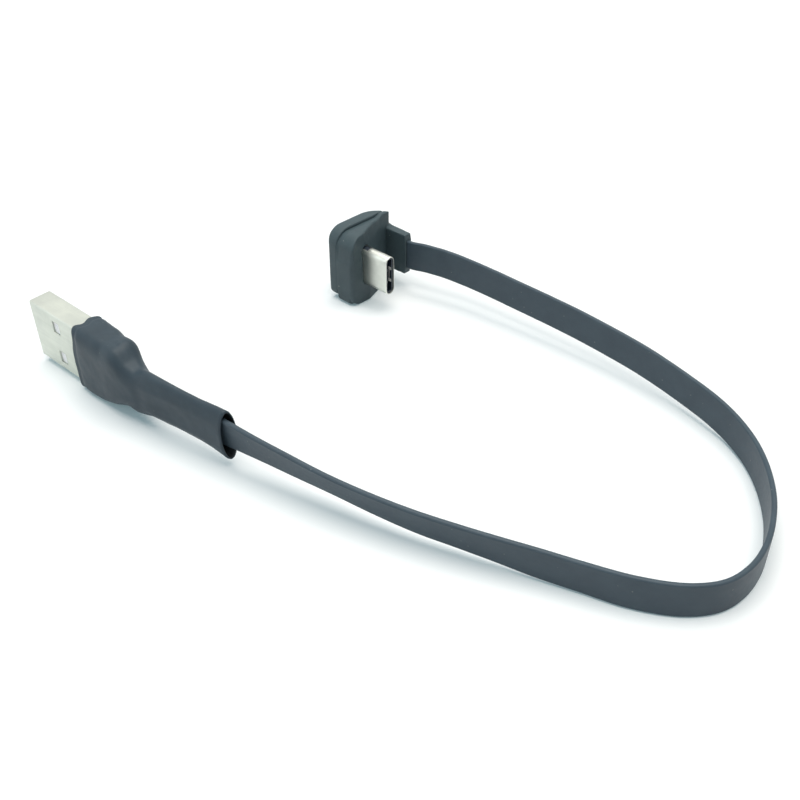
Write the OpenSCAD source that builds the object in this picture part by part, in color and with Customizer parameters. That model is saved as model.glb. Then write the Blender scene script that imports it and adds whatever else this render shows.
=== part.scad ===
// Short flat charging cable: a USB-A plug in a heat-shrink sleeve at one end and a
// USB-C plug that stands in a U-turn moulding at the other. Millimetres.
// +X is the USB-C plug's mating direction, +Z is up, z = 0 is the surface it lies on.
// The origin is on that surface, under the middle of the USB-C moulding's front block.

/* [Cable] */
// Width of the flat cable's jacket
cable_w = 6.3; // [5.3:0.1:7.5]
// Thickness of the flat cable's jacket
cable_t = 0.9; // [0.75:0.05:1.05]
// Diameter of each insulated conductor where it leaves the jacket
wire_d = 0.7; // [0.55:0.05:0.8]

/* [USB-A plug] */
// Width of the metal shell
a_shell_w = 12; // [10:0.1:12.4]
// Thickness of the metal shell
a_shell_h = 4.5; // [4:0.1:4.9]
// Sheet thickness of the metal shell
a_shell_wall = 0.3; // [0.25:0.05:0.4]
// Length of the metal shell from its mouth to its hidden rear end
a_shell_len = 19.1; // [17.4:0.1:20.4]
// Length of each window across the shell
a_window_w = 2.5; // [2:0.1:3]
// Length of each window along the shell
a_window_l = 2; // [1.6:0.1:2.4]
// Distance from the shell's mouth to a window's front edge
a_window_front = 6.6; // [5.5:0.1:7.6]

/* [Heat-shrink sleeve] */
// Length of bare metal in front of the sleeve
a_exposed = 13; // [11:0.1:14]
// Length of the sleeve over the solder block
block_len = 13; // [12:0.1:15.6]
// Length of the shoulder between block and neck
shoulder_len = 5.4; // [4.5:0.1:6.5]
// Length of the narrow neck
neck_len = 18.5; // [15.4:0.1:22.2]
// Wall of the sleeve
sleeve_wall = 0.5; // [0.4:0.05:0.55]
// Half thickness of the block
block_half_t = 3.4; // [3.2:0.1:4.1]
// Half width of the block
block_half_w = 7; // [6.9:0.1:8.4]
// Half thickness of the sleeve's open mouth
mouth_half_t = 1.7; // [1.5:0.1:2.1]
// Half width of the sleeve's open mouth
mouth_half_w = 4.9; // [4.3:0.1:5.9]

/* [USB-C plug] */
// Width of the plug's shell
c_shell_w = 8.25; // [7.8:0.05:8.8]
// Thickness of the plug's shell
c_shell_h = 2.4; // [2.3:0.05:2.6]
// Sheet thickness of the plug's shell
c_shell_wall = 0.18; // [0.15:0.01:0.2]
// Length of shell in front of the moulding
c_exposed = 6.2; // [5.2:0.1:7.4]

/* [USB-C moulding] */
// Overall height of the moulding
house_h = 15.4; // [14.2:0.1:18.5]
// Depth of the front block along the plug's axis
front_depth = 4.4; // [4.2:0.1:5.2]
// Depth of the back cover along the plug's axis
cover_depth = 2.6; // [2.2:0.1:3.1]
// Distance from the plug's middle to the near side face
house_near = 4.5; // [4:0.1:5.4]
// Distance from the plug's middle to the cable's middle in the boot
limb_y = 9.4; // [9:0.1:11.3]
// Height of the boot
boot_h = 8.8; // [8.6:0.1:10.6]
// Thickness of the boot at its root
boot_t = 2; // [1.9:0.1:2.4]
// Length of the boot
boot_len = 5.7; // [4.8:0.1:6.8]

/* [Hidden] */
$fn = 48;
// ---- shared derived values
slot_gap = 0.05;
front_x = front_depth / 2;
back_x = -front_depth / 2;
cover_x = back_x - cover_depth;
axis_z = house_h / 2 + 0.3;
limb_z = house_h / 2;
c_drop = axis_z - limb_z;
limb_x = back_x + 1;
tip_y = limb_y + 0.2;
shoulder_y = tip_y - 0.7;
boot_z = [limb_z - boot_h / 2, limb_z + boot_h / 2];
block_step = 0.45;
rim_groove = 0.15;
front_plate = 1;
cover_taper = 0.45;

// ---- USB-A end, in its own axes: X from the shell's mouth to the cable, Z across
a_half_h = a_shell_h / 2;
a_half_w = a_shell_w / 2;
a_in_h = a_half_h - a_shell_wall;
a_in_w = a_half_w - a_shell_wall;
a_corner = 0.4;
window_z = 3.25;
tongue_top = -0.05;
insulator_front = 0.4;
block_front = 9;
contact_t = 0.3;
contact_z = [-3.5, -1, 1, 3.5];
contact_front = [1.9, 2.9, 2.9, 1.9];
contact_w = 1;
tail_end = a_shell_len + 2.6;
solder_front = a_shell_len + 1.2;
solder_back = a_shell_len + 3.5;
solder_d = 1.5;
sleeve_end = a_exposed + block_len + shoulder_len + neck_len;
jacket_end = a_exposed + block_len + 2.6;
neck_x = a_exposed + block_len + shoulder_len;
sag = -0.95;
neck_top = cable_w / 2 + 1.8;
neck_low = cable_w / 2 + 0.75;
core_pitch = min(1.25, (cable_w - 1) / 3.6);
core_z = [-1.5 * core_pitch, -0.5 * core_pitch, 0.5 * core_pitch, 1.5 * core_pitch];
jacket_y = -0.5;

// where the sleeve's mouth stands and how the USB-A end is turned
a_anchor = [23.4, -52.7, block_half_w - 0.38];
a_turn = [2, 0.8, 2];
a_offset = 1;

// sleeve stations: [x, half thickness, top, bottom, roundness, offset, cut angle]
bx = a_exposed;
bt = block_half_t;
bw = block_half_w;
sleeve_rows = [
  [bx,                          bt - 0.5, bw - 0.45, bw - 0.45, 0,    0,           0],
  [bx + 0.05 * block_len,       bt - 0.3, bw - 0.25, bw - 0.25, 0.1,  0,           0],
  [bx + 0.15 * block_len,       bt - 0.1, bw - 0.1,  bw - 0.1,  0.2,  -0.05,       0],
  [bx + 0.31 * block_len,       bt,       bw - 0.1,  bw,        0.3,  -0.1,        0],
  [bx + 0.49 * block_len,       bt,       bw - 0.2,  bw - 0.1,  0.35, -0.15,       0],
  [bx + 0.66 * block_len,       bt - 0.1, bw - 0.2,  bw - 0.6,  0.4,  -0.3,        0],
  [bx + 0.83 * block_len,       bt - 0.2, bw - 0.3,  bw - 1.4,  0.45, -0.5,        0],
  [bx + block_len,              bt - 0.4, bw - 0.6,  bw - 2.4,  0.5,  -0.65,       0],
  [neck_x - 0.63 * shoulder_len, bt - 0.7, bw - 2,   bw - 3,    0.6,  -0.8,        0],
  [neck_x - 0.26 * shoulder_len, bt - 1.1, bw - 2.7, bw - 2.9,  0.75, -0.9,        0],
  [neck_x,                      1.9,      4.7,       4.1,       0.9,  sag,         0],
  [neck_x + 0.11 * neck_len,    1.65,     neck_top,  neck_low,  0.85, sag,         0],
  [neck_x + 0.27 * neck_len,    1.45,     neck_top,  neck_low,  0.85, -0.65,       2],
  [neck_x + 0.51 * neck_len,    1.4,      neck_top - 0.15, neck_low, 0.85, -0.15,   5],
  [neck_x + 0.73 * neck_len,    1.45,     4.6,       4.3,       0.95, 0.4,         4],
  [neck_x + 0.9 * neck_len,     1.55,     mouth_half_w - 0.2, mouth_half_w + 0.1, 1, 0.8, -4],
  [sleeve_end, mouth_half_t,    mouth_half_w - 0.2, mouth_half_w + 0.5, 1, a_offset, -12]
];
mould_first = 2;
mould_last = 9;

// ---- USB-C end: distances along X, thickness along Y, width along Z
c_tip = front_x + c_exposed;
c_rear = front_x - 2.8;
c_half_h = c_shell_h / 2;
c_half_w = c_shell_w / 2;
c_in_h = c_half_h - c_shell_wall;
c_in_w = c_half_w - c_shell_wall;
slot_w = 6.9;
slot_h = 1.1;
slot_depth = 5.4;
c_recess = 0.25;
c_contact_w = 0.25;
c_contact_t = 0.15;
c_contact_y = 0.4;
c_pitch = 0.5;
c_notch_l = 1;
spring_t = 0.1;
spring_z = [-1.3, 1.3];
spring_w = 0.6;
plate_t = 0.16;
card_t = 2 * c_contact_y;
card_x = [back_x - 1, c_rear - 0.1];
card_w = 7.8;
pad_x = back_x - 0.45;
c_solder_d = 1;
c_solder_h = 0.55;
chamber_x = back_x - 1.3;
chamber_y = [-2.4, 4];
chamber_w = 9.6;
limb_chamber_x = back_x + 0.4;
limb_chamber_w = 7.6;
limb_chamber_y = limb_y + boot_t / 2 - 0.3;
c_jacket_end = back_x + 0.2;

// ---- cable route, by hand: [x, y, rise, lean]; rise 0 is on the surface and 1 is at
// the height of the strand's own plug, lean tips the top edge over by degrees
c_strand = [
  [c_jacket_end,       limb_y, 1, 0],
  [c_jacket_end + 1.6, limb_y, 1, 0],
  [c_jacket_end + 3.2, limb_y, 1, 0],
  [limb_x + boot_len + 0.8, limb_y, 1, 0],
  [limb_x + boot_len + 4, limb_y + 0.8, 1.04, 0],
  [13, limb_y + 1.95, 1.02, 0],
  [18, 12.4, 0.92, 0],
  [24.5, 13, 0.84, 0],
  [31, 13.4, 0.75, 0],
  [38, 13.7, 0.68, 0],
  [44.5, 13.8, 0.61, 0],
  [51.5, 13.7, 0.51, 0],
  [58.5, 13.2, 0.43, 0],
  [64, 12.5, 0.34, 0],
  [69, 11.6, 0.26, 0],
  [74.5, 10.2, 0.2, 0],
  [79.5, 8.4, 0.1, 0],
  [84.5, 5.4, 0.03, 0],
  [89, 1.2, 0.01, 0],
  [93, -4, 0.005, 0],
  [95.8, -9.2, 0.005, 0],
  [97.8, -14.8, 0.005, 0],
  [98.5, -20.5, 0.005, 0],
  [97.4, -25.8, 0.005, 0],
  [93.8, -30.2, 0.005, 0],
  [88, -33.8, 0.02, 1]
];
a_strand = [
  [81.3, -36.4, 0.06, 5],
  [75.3, -38.7, 0.13, 7],
  [69.5, -40.9, 0.23, 13],
  [63.8, -43, 0.31, 17],
  [57.4, -45.2, 0.38, 19],
  [50.3, -47.2, 0.5, 22],
  [43, -48.9, 0.65, 24],
  [35.5, -50.4, 0.79, 20],
  [29, -51.6, 0.9, 16]
];
// inside the sleeve, in the USB-A end's axes: [distance from the mouth, offset, lean]
a_inner = [
  [neck_x + 0.96 * neck_len, a_offset, 9],
  [neck_x + 0.73 * neck_len, 0.4, 4],
  [neck_x + 0.51 * neck_len, -0.1, a_turn[0]],
  [neck_x + 0.27 * neck_len, -0.6, a_turn[0]],
  [neck_x + 0.06 * neck_len, -0.65, a_turn[0]],
  [jacket_end + 1.8, jacket_y, a_turn[0]],
  [jacket_end + 0.9, jacket_y, a_turn[0]],
  [jacket_end, jacket_y, a_turn[0]]
];
a_mouth_z = a_anchor[2];
route = concat(
  [for (p = c_strand) [p[0], p[1], mix(cable_w / 2, limb_z, p[2]), p[3]]],
  [for (p = a_strand) [p[0], p[1], mix(cable_w / 2, a_mouth_z, p[2]), p[3]]],
  [for (p = a_inner) concat(place_a_point([p[0], p[1], 0]), [p[2]])]
);
steps = 2;

// ---- functions
function mix(a, b, u) = a + (b - a) * u;
function unit(v) = v / norm(v);
function turn_x(p, a) = [p[0], p[1] * cos(a) - p[2] * sin(a), p[1] * sin(a) + p[2] * cos(a)];
function turn_y(p, a) = [p[0] * cos(a) + p[2] * sin(a), p[1], -p[0] * sin(a) + p[2] * cos(a)];
function turn_z(p, a) = [p[0] * cos(a) - p[1] * sin(a), p[0] * sin(a) + p[1] * cos(a), p[2]];
// a point of the USB-A end's axes in the part's axes
function place_a_point(p) =
  a_anchor + turn_z(turn_y(turn_x(p - [sleeve_end, a_offset, 0], a_turn[0]), a_turn[1]),
    a_turn[2]);
// Catmull-Rom point between b and c
function curve(a, b, c, d, u) =
  0.5 * (2 * b + (c - a) * u + (2 * a - 5 * b + 4 * c - d) * u * u
  + (3 * b - a - 3 * c + d) * u * u * u);
function smooth(p, n) = let (k = len(p)) concat(
  [for (i = [0:k - 2], j = [0:n - 1])
    curve(p[max(i - 1, 0)], p[i], p[i + 1], p[min(i + 2, k - 1)], j / n)],
  [p[k - 1]]
);
function xyz(p) = [p[0], p[1], p[2]];
function tangent(p, i) =
  unit(xyz(p[min(i + 1, len(p) - 1)]) - xyz(p[max(i - 1, 0)]));
// one ring of a flat section, its long way along the upward direction
function flat_ring(c, t, lean, hw, ht) = let (
  side = unit(cross(t, [0, 0, 1])),
  up0 = cross(side, t),
  up = up0 * cos(lean) - side * sin(lean),
  out = side * cos(lean) + up0 * sin(lean)
) [for (i = [0:9]) let (a = 45 * (i % 5), s = i < 5 ? 1 : -1)
  c + s * (out * ht * cos(a) + up * (hw - ht + ht * sin(a)))];
function round_ring(c, t, ref, r, n) = let (
  side = unit(cross(t, ref)),
  up = cross(side, t)
) [for (i = [0:n - 1]) c + r * (side * cos(360 * i / n) + up * sin(360 * i / n))];
// faces of a solid made of k rings of n points
function ring_faces(k, n) = concat(
  [[for (i = [0:n - 1]) i]],
  [for (j = [0:k - 2], i = [0:n - 1])
    [j * n + i, (j + 1) * n + i, (j + 1) * n + (i + 1) % n]],
  [for (j = [0:k - 2], i = [0:n - 1])
    [j * n + i, (j + 1) * n + (i + 1) % n, j * n + (i + 1) % n]],
  [[for (i = [n - 1:-1:0]) (k - 1) * n + i]]
);
// one ring of the sleeve, taken in from its outside by inset
function sleeve_ring(row, inset) = let (
  a = row[1] - inset,
  r = max(0.9 - inset, 0.3),
  rx = mix(r, a, row[4]),
  cut = row[6]
) [for (q = [0:3], j = [0:4]) let (
    w = 90 * q + 9 + 18 * j,
    b = (q < 2 ? row[2] : row[3]) - inset,
    ry = mix(r, b, row[4]),
    sx = cos(w) > 0 ? 1 : -1,
    sz = sin(w) > 0 ? 1 : -1,
    y = sx * (a - rx) + rx * cos(w),
    z = sz * (b - ry) + ry * sin(w)
  ) [row[0] - y * sin(cut), row[5] + y * cos(cut), z]];

// ---- helpers
module ring_solid(rings) {
  polyhedron(
    points = [for (r = rings) for (p = r) p],
    faces = ring_faces(len(rings), len(rings[0])),
    convexity = 10
  );
}
module place_a() {
  translate(a_anchor)
    rotate(a_turn)
    translate([-sleeve_end, -a_offset, 0])
    children();
}
// box from one corner to the other
module block(a, b) {
  translate(a) cube(b - a);
}
// rounded bar along X, w high and h thick
module bar_x(x0, x1, h, w, r) {
  translate([x0, 0, 0])
    rotate([90, 0, 90])
    linear_extrude(x1 - x0)
    rounded(h, w, r);
}
module rounded(h, w, r) {
  square([h - 2 * r, w], center = true);
  square([h, w - 2 * r], center = true);
  for (sx = [-1, 1], sy = [-1, 1])
    translate([sx * (h / 2 - r), sy * (w / 2 - r)]) circle(r);
}
// straight way through for the cable, along X
module cable_slot(x0, x1) {
  t = cable_t + 2 * slot_gap;
  bar_x(x0, x1, t, cable_w + 2 * slot_gap, t / 2 - 0.001);
}
module tube(points, ref, r) {
  k = len(points);
  ring_solid([for (i = [0:k - 1]) round_ring(points[i], tangent(points, i), ref, r, 8)]);
}

// ---- cable
module cable_jacket() {
  path = smooth(route, steps);
  k = len(path);
  color("#46525a")
    ring_solid([for (i = [0:k - 1])
      flat_ring(xyz(path[i]), tangent(path, i), path[i][3], cable_w / 2, cable_t / 2)]);
}

// ---- USB-A end
module a_shell_outside() {
  bar_x(0, a_shell_len, a_shell_h, a_shell_w, a_corner);
}
module usb_a_shell() {
  color("#c9cbbd") place_a() difference() {
    a_shell_outside();
    bar_x(-1, a_shell_len + 1, 2 * a_in_h, 2 * a_in_w, 0.15);
    for (z = [-window_z, window_z])
      block([a_window_front, -a_shell_h, z - a_window_w / 2],
        [a_window_front + a_window_l, a_shell_h, z + a_window_w / 2]);
  }
}
module a_contact(i) {
  block([contact_front[i], tongue_top - contact_t + 0.05, contact_z[i] - contact_w / 2],
    [tail_end, tongue_top + 0.05, contact_z[i] + contact_w / 2]);
}
module a_contacts() {
  for (i = [0:3]) a_contact(i);
}
module usb_a_insulator() {
  color("#f0f0ec") place_a() difference() {
    intersection() {
      union() {
        block([insulator_front, -a_in_h, -a_in_w], [a_shell_len, tongue_top, a_in_w]);
        block([block_front, -a_in_h, -a_in_w], [a_shell_len, a_in_h, a_in_w]);
      }
      bar_x(0, a_shell_len, 2 * a_in_h, 2 * a_in_w, 0.15);
    }
    a_contacts();
  }
}
module usb_a_contact(i) {
  color("#c9a24a") place_a() a_contact(i);
}
module a_solder(i) {
  translate([solder_front, 0, contact_z[i]])
    rotate([0, 90, 0])
    cylinder(h = solder_back - solder_front, d = solder_d, $fn = 24);
}
module usb_a_solder(i) {
  color("#b9bbb8") place_a() difference() {
    a_solder(i);
    a_contact(i);
  }
}
module a_wire(i) {
  z0 = core_z[i];
  z1 = contact_z[i];
  ends = [
    [solder_back, 0, z1],
    [solder_back + 0.5, 0, z1],
    [mix(solder_back, jacket_end, 0.35), mix(0, jacket_y, 0.25), mix(z1, z0, 0.3)],
    [mix(solder_back, jacket_end, 0.65), mix(0, jacket_y, 0.8), mix(z1, z0, 0.85)],
    [jacket_end - 0.5, jacket_y, z0],
    [jacket_end, jacket_y, z0]
  ];
  tube(ends, [0, 1, 0], wire_d / 2);
}
module usb_a_wire(i, c) {
  color(c) place_a() a_wire(i);
}
// wiring pocket behind the shell, narrowing towards the cable
module a_pocket() {
  x0 = a_shell_len - 0.1;
  x3 = jacket_end - 0.5;
  rotate([90, 0, 0]) translate([0, 0, -0.9]) linear_extrude(2.1)
    polygon([
      [x0, -4.4], [solder_back + 0.2, -4.4], [mix(solder_back, x3, 0.5), -3.5], [x3, -2.6],
      [x3, 2.6], [mix(solder_back, x3, 0.5), 3.5], [solder_back + 0.2, 4.4], [x0, 4.4]]);
}
module usb_a_inner_mould() {
  color("#2b2f31") place_a() difference() {
    ring_solid([for (i = [mould_first:mould_last]) sleeve_ring(sleeve_rows[i], sleeve_wall)]);
    a_shell_outside();
    a_pocket();
    translate([0, jacket_y, 0]) cable_slot(jacket_end - 1, neck_x + 1);
  }
}
module heat_shrink_sleeve() {
  n = 20;
  k = len(sleeve_rows);
  outer = [for (r = sleeve_rows) each sleeve_ring(r, 0)];
  inner = [for (r = sleeve_rows) each sleeve_ring(r, sleeve_wall)];
  m = k * n;
  last = (k - 1) * n;
  faces = concat(
    [for (j = [0:k - 2], i = [0:n - 1]) each [
      [j * n + i, (j + 1) * n + i, (j + 1) * n + (i + 1) % n],
      [j * n + i, (j + 1) * n + (i + 1) % n, j * n + (i + 1) % n],
      [m + j * n + i, m + (j + 1) * n + (i + 1) % n, m + (j + 1) * n + i],
      [m + j * n + i, m + j * n + (i + 1) % n, m + (j + 1) * n + (i + 1) % n]]],
    [for (i = [0:n - 1]) each [
      [i, (i + 1) % n, m + (i + 1) % n],
      [i, m + (i + 1) % n, m + i],
      [last + i, m + last + (i + 1) % n, last + (i + 1) % n],
      [last + i, m + last + i, m + last + (i + 1) % n]]]
  );
  color("#3d474d") place_a()
    polyhedron(points = concat(outer, inner), faces = faces, convexity = 10);
}

// ---- USB-C end
module at_plug() {
  translate([0, 0, axis_z]) children();
}
module obround_x(x0, x1, h, w) {
  bar_x(x0, x1, h, w, h / 2 - 0.001);
}
module usb_c_shell() {
  color("#c6c8bc") at_plug() difference() {
    obround_x(c_rear, c_tip, c_shell_h, c_shell_w);
    obround_x(c_rear - 1, c_tip + 1, 2 * c_in_h, 2 * c_in_w);
    // notch at the root of the upper edge
    block([front_x - 1.2, -0.7, c_half_w - 0.6], [front_x + c_notch_l, 0.7, c_half_w + 1]);
  }
}
module c_contact(row, pos) {
  s = row == "a" ? 1 : -1;
  z = (pos - 6.5) * c_pitch * s;
  y0 = c_contact_y * s;
  y1 = (c_contact_y + c_contact_t) * s;
  block([c_rear - 1.2, min(y0, y1), z - c_contact_w / 2],
    [c_tip - 1.3, max(y0, y1), z + c_contact_w / 2]);
}
module c_contacts() {
  for (p = [1, 4, 5, 6, 7, 9, 12]) c_contact("a", p);
  for (p = [1, 4, 9, 12]) c_contact("b", p);
}
module c_plate() {
  block([c_rear + 0.4, -plate_t / 2, -3.8], [c_tip - slot_depth - 0.2, plate_t / 2, 3.8]);
  for (s = [-1, 1])
    block([c_rear + 0.4, -plate_t / 2, min(s * 3.1, s * 3.8)],
      [c_tip - 1.6, plate_t / 2, max(s * 3.1, s * 3.8)]);
}
// ground spring on one wall of the slot: a bar and two short fingers
module c_ground_spring(s) {
  y = slot_h / 2;
  x0 = c_tip - 0.95;
  block([x0, min(s * y, s * (y + spring_t)), spring_z[0] - spring_w / 2],
    [x0 + 0.2, max(s * y, s * (y + spring_t)), spring_z[1] + spring_w / 2]);
  for (z = spring_z)
    block([x0, min(s * (y - 0.08), s * (y + spring_t)), z - spring_w / 2],
      [x0 + 0.65, max(s * (y - 0.08), s * (y + spring_t)), z + spring_w / 2]);
}
module usb_c_ground_spring(s) {
  color("#b8babb") at_plug() c_ground_spring(s);
}
module usb_c_insulator() {
  color("#17191a") at_plug() difference() {
    obround_x(c_rear, c_tip - c_recess, 2 * c_in_h, 2 * c_in_w);
    bar_x(c_tip - slot_depth, c_tip, slot_h, slot_w, 0.3);
    c_contacts();
    c_plate();
    c_ground_spring(1);
    c_ground_spring(-1);
  }
}
module usb_c_latch_plate() {
  color("#b8babb") at_plug() c_plate();
}
module usb_c_contact(row, pos) {
  color("#c9a24a") at_plug() c_contact(row, pos);
}
module card() {
  block([card_x[0], -card_t / 2, -card_w / 2], [card_x[1], card_t / 2, card_w / 2]);
}
module usb_c_card() {
  color("#1f5a3a") at_plug() card();
}
module resistor() {
  block([back_x - 0.8, -card_t / 2 - 0.35, -0.5], [back_x - 0.3, -card_t / 2, 0.5]);
}
module usb_c_resistor() {
  color("#202020") at_plug() resistor();
}
module c_solder(i) {
  translate([pad_x, card_t / 2, core_z[i]])
    rotate([-90, 0, 0])
    cylinder(h = c_solder_h, d1 = c_solder_d, d2 = wire_d + 0.1, $fn = 24);
}
module usb_c_solder(i) {
  color("#b9bbb8") at_plug() c_solder(i);
}
module c_wire(i) {
  z = core_z[i];
  reach = c_jacket_end - pad_x;
  ends = [
    [c_jacket_end, limb_y, z - c_drop],
    [c_jacket_end - 0.1, limb_y, z - c_drop],
    [c_jacket_end - 0.5 * reach, limb_y - 0.13 * reach, z - c_drop],
    [c_jacket_end - 0.87 * reach, limb_y - 0.5 * reach, z - c_drop],
    [pad_x, limb_y - reach, z - c_drop],
    [pad_x, limb_y - 3, z - 0.8 * c_drop],
    [pad_x, card_t / 2 + c_solder_h + 1, z],
    [pad_x, card_t / 2 + c_solder_h, z]
  ];
  tube(ends, [0, 0, 1], wire_d / 2);
}
module usb_c_wire(i, c) {
  color(c) at_plug() c_wire(i);
}
// the wiring space inside the two halves of the moulding
module c_chamber() {
  block([chamber_x, chamber_y[0], -chamber_w / 2], [c_rear, chamber_y[1], chamber_w / 2]);
  block([chamber_x, chamber_y[0] + 2, -c_drop - limb_chamber_w / 2],
    [limb_chamber_x, limb_chamber_y, -c_drop + limb_chamber_w / 2]);
}
// outline across the plug's axis, as Y and Z, between two heights
module side_outline(low, high, r_top, r_low) {
  hull() {
    translate([-house_near + r_low, low + r_low]) circle(r_low);
    translate([-house_near + r_top, high - r_top]) circle(r_top);
    translate([limb_y + 3, low]) square([0.1, high - low]);
  }
}
module along_x(x0, x1) {
  translate([x0, 0, 0]) rotate([90, 0, 90]) linear_extrude(x1 - x0) children();
}
module along_z(z0, z1) {
  translate([0, 0, z0]) linear_extrude(z1 - z0) children();
}
module at_cable() {
  translate([0, limb_y, limb_z]) children();
}
// plan of the front block at one height, drawn back by up to 1 towards its far top
function block_plan(z, u) = [
  [back_x, -house_near, z],
  [front_x - 0.5, -house_near, z],
  [front_x, -house_near + 0.5, z],
  [front_x - 0.9 * u, 0.5 - 0.8 * u, z],
  [front_x - 0.5 - 1.5 * u, 1.9 + 0.1 * u, z],
  [front_x - 1.2 - 1.7 * u, 4 + 0.4 * u, z],
  [limb_x + 1 - 0.9 * u, tip_y - 3, z],
  [limb_x, tip_y, z],
  [back_x, shoulder_y, z]
];
// front block without its details: upright below, leaning back towards its far top
module front_body() {
  ring_solid([
    block_plan(0, 0), block_plan(0.45 * house_h, 0), block_plan(0.62 * house_h, 0.2),
    block_plan(0.76 * house_h, 0.5), block_plan(0.88 * house_h, 0.8), block_plan(house_h, 1)
  ]);
}
module usb_c_front_block() {
  low_top = house_h - block_step;
  color("#3b444a") difference() {
    union() {
      intersection() {
        front_body();
        union() {
          along_x(back_x, front_x - front_plate) side_outline(0, house_h, 3, 1.2);
          along_x(front_x - front_plate - 0.1, front_x) side_outline(0, house_h, 3, 2.4);
        }
      }
      along_z(boot_z[0], boot_z[1])
        polygon([[back_x, tip_y - 2], [limb_x, tip_y - 2],
          [limb_x, limb_y + boot_t / 2], [back_x, limb_y + boot_t / 2 + 0.5]]);
    }
    at_plug() c_chamber();
    at_plug() obround_x(c_rear - 0.1, c_tip, c_shell_h, c_shell_w);
    at_cable() cable_slot(back_x, limb_x + 1);
    // room for the boot's root
    block([limb_x, limb_y - boot_t / 2, boot_z[0]], [front_x + 1, tip_y + 2, boot_z[1]]);
    // step down in front of the cover's rim
    along_x(back_x, front_x + 1) top_band(block_step, tip_y - 3.2);
    // groove along the rim
    along_x(back_x, back_x + 0.75) top_band(block_step + rim_groove, tip_y - 3.6);
    // parting groove under the block
    translate([front_x - front_plate, -house_near, 0]) rotate([0, 0, 14])
      block([-0.15, -1, -1], [0.1, tip_y + house_near, 0.2]);
    // moulding mark above the plug
    block([back_x + 1.2, 1.7, axis_z + 4.4], [front_x + 1, 1.82, low_top - 1.4]);
  }
}
// band along the block's rounded near top corner, as Y and Z, deep below its top
module top_band(deep, y_end) {
  difference() {
    polygon([
      [-house_near - 1, house_h - 6], [y_end, house_h - 6], [y_end, house_h - deep - 0.1],
      [y_end + 1.6, house_h + 0.3], [y_end + 1.6, house_h + 1], [-house_near - 1, house_h + 1]]);
    hull() {
      translate([-house_near + deep / 2 + 3, house_h - deep - 3]) circle(3);
      translate([limb_y + 3, house_h - deep - 7]) square([0.1, 7]);
      translate([-house_near, house_h - 7]) square([3, 0.1]);
    }
  }
}
module cover_plan() {
  hull() {
    translate([back_x - 0.05, -house_near]) square([0.05, shoulder_y + house_near]);
    translate([cover_x + 0.9, -house_near + 0.9]) circle(0.9);
    intersection() {
      translate([cover_x + 4.6, shoulder_y - 4]) circle(4.6);
      translate([cover_x, shoulder_y - 4]) square([cover_depth - 0.1, 4]);
    }
  }
}
// side view of the cover, drawn in towards its bottom
module cover_side() {
  long = house_near + limb_y + 2;
  translate([0, long - house_near - 1, 0]) rotate([90, 0, 0]) linear_extrude(long)
    polygon([[back_x, 0], [cover_x + cover_taper, 0], [cover_x, 6], [cover_x, house_h],
      [back_x, house_h]]);
}
module usb_c_back_cover() {
  color("#414b52") difference() {
    union() {
      intersection() {
        along_z(0.6, house_h) cover_plan();
        along_x(cover_x, back_x) side_outline(0.6, house_h, 3.6, 1.8);
        cover_side();
      }
      along_z(boot_z[0], boot_z[1]) intersection() {
        translate([cover_x, 2]) square([cover_depth, limb_y]);
        hull() {
          translate([cover_x, 2]) square([cover_depth, limb_y - 2.5]);
          translate([cover_x + 2, limb_y + boot_t / 2 - 1.5]) circle(2);
          translate([back_x, limb_y + boot_t / 2 + 0.3]) square(0.2);
        }
      }
    }
    at_plug() c_chamber();
  }
}
module usb_c_boot() {
  end_x = limb_x + boot_len;
  t0 = boot_t / 2;
  t1 = min(cable_t / 2 + 0.4, t0 - 0.1);
  color("#39424a") difference() {
    intersection() {
      along_z(boot_z[0], boot_z[1]) polygon([
        [limb_x, limb_y - t0], [end_x, limb_y - t1],
        [end_x, limb_y + t1], [limb_x, limb_y + t0]]);
      translate([0, limb_y + boot_t, 0]) rotate([90, 0, 0]) linear_extrude(2 * boot_t)
        polygon([
          [limb_x, boot_z[0]], [end_x - 0.4, boot_z[0]], [end_x, boot_z[0] + 1.7],
          [end_x, boot_z[1] - 1.5], [end_x - 0.3, boot_z[1]], [limb_x, boot_z[1]]]);
    }
    at_cable() cable_slot(limb_x - 1, end_x + 1);
  }
}

cable_jacket();
usb_a_shell();
usb_a_insulator();
usb_a_contact(0);  // usb_a_contact_vbus
usb_a_contact(1);  // usb_a_contact_d_minus
usb_a_contact(2);  // usb_a_contact_d_plus
usb_a_contact(3);  // usb_a_contact_gnd
usb_a_solder(0);  // usb_a_solder_vbus
usb_a_solder(1);  // usb_a_solder_d_minus
usb_a_solder(2);  // usb_a_solder_d_plus
usb_a_solder(3);  // usb_a_solder_gnd
usb_a_wire(0, "#b3261e");  // usb_a_wire_vbus
usb_a_wire(1, "#e8e8e4");  // usb_a_wire_d_minus
usb_a_wire(2, "#2f8a3c");  // usb_a_wire_d_plus
usb_a_wire(3, "#151515");  // usb_a_wire_gnd
usb_a_inner_mould();
heat_shrink_sleeve();
usb_c_shell();
usb_c_insulator();
usb_c_latch_plate();
usb_c_ground_spring(1);  // usb_c_ground_spring_a
usb_c_ground_spring(-1);  // usb_c_ground_spring_b
usb_c_contact("a", 1);  // usb_c_contact_a1
usb_c_contact("a", 4);  // usb_c_contact_a4
usb_c_contact("a", 5);  // usb_c_contact_a5
usb_c_contact("a", 6);  // usb_c_contact_a6
usb_c_contact("a", 7);  // usb_c_contact_a7
usb_c_contact("a", 9);  // usb_c_contact_a9
usb_c_contact("a", 12);  // usb_c_contact_a12
usb_c_contact("b", 1);  // usb_c_contact_b1
usb_c_contact("b", 4);  // usb_c_contact_b4
usb_c_contact("b", 9);  // usb_c_contact_b9
usb_c_contact("b", 12);  // usb_c_contact_b12
usb_c_card();
usb_c_resistor();
usb_c_solder(0);  // usb_c_solder_vbus
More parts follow.
